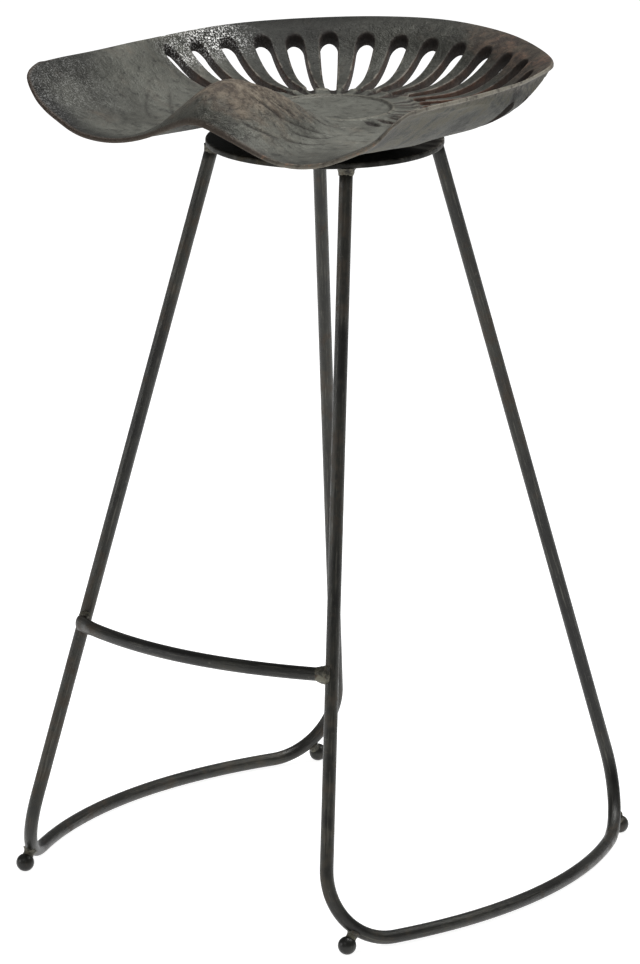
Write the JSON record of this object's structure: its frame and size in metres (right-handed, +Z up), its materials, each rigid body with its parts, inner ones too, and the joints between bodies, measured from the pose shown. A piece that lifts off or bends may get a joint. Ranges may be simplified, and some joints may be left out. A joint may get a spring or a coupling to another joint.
{
  "type": "tractor seat stool",
  "caption": "Cast metal bucket seat with slots round its back, swivelling on a round plate that is carried by bent rod leg frames with ball feet and a curved footrest.",
  "frame": {"origin": "middle of the whole stool's footprint, on the floor", "axes": "+Z up; -Y is the front, where the footrest is; +X is to the right as seen from the front"},
  "size_m": [0.4964, 0.4688, 0.7791],
  "materials": {
    "seat_casting": "worn dark casting with a brown rust tint, satin",
    "frame_metal": "blackened steel rod and plate, satin",
    "weld_metal": "rough dark weld bead with a rust tint",
    "fastener_metal": "plain plated steel",
    "bearing_plastic": "self-lubricating plastic"
  },
  "bodies": {
    "base": {"mounting_plate": "frame_metal", "left_leg_frame": "frame_metal", "right_leg_frame": "frame_metal", "footrest_bar": "frame_metal", "footrest_left_weld": "weld_metal", "footrest_right_weld": "weld_metal", "front_left_ball_foot": "frame_metal", "front_left_foot_weld": "weld_metal", "front_left_leg_weld": "weld_metal", "front_right_ball_foot": "frame_metal", "front_right_foot_weld": "weld_metal", "front_right_leg_weld": "weld_metal", "back_left_ball_foot": "frame_metal", "back_left_foot_weld": "weld_metal", "back_left_leg_weld": "weld_metal", "back_right_ball_foot": "frame_metal", "back_right_foot_weld": "weld_metal", "back_right_leg_weld": "weld_metal", "swivel_base_plate": "fastener_metal", "swivel_bearing_ring": "bearing_plastic", "swivel_pivot": "fastener_metal", "base_bolt_1": "fastener_metal", "base_washer_1": "fastener_metal", "base_bolt_2": "fastener_metal", "base_washer_2": "fastener_metal", "base_bolt_3": "fastener_metal", "base_washer_3": "fastener_metal", "base_bolt_4": "fastener_metal", "base_washer_4": "fastener_metal"},
    "seat": {"seat_pan": "seat_casting", "swivel_top_plate": "fastener_metal", "seat_bolt_1": "fastener_metal", "seat_washer_1": "fastener_metal", "seat_bolt_2": "fastener_metal", "seat_washer_2": "fastener_metal", "seat_bolt_3": "fastener_metal", "seat_washer_3": "fastener_metal", "seat_bolt_4": "fastener_metal", "seat_washer_4": "fastener_metal"}
  },
  "joints": [
    {"name": "seat_swivel", "type": "hinge", "parent": "base", "child": "seat", "pos_m": [0, -0.00197, 0.695], "axis": [0, 0, 1], "continuous": true}
  ]
}
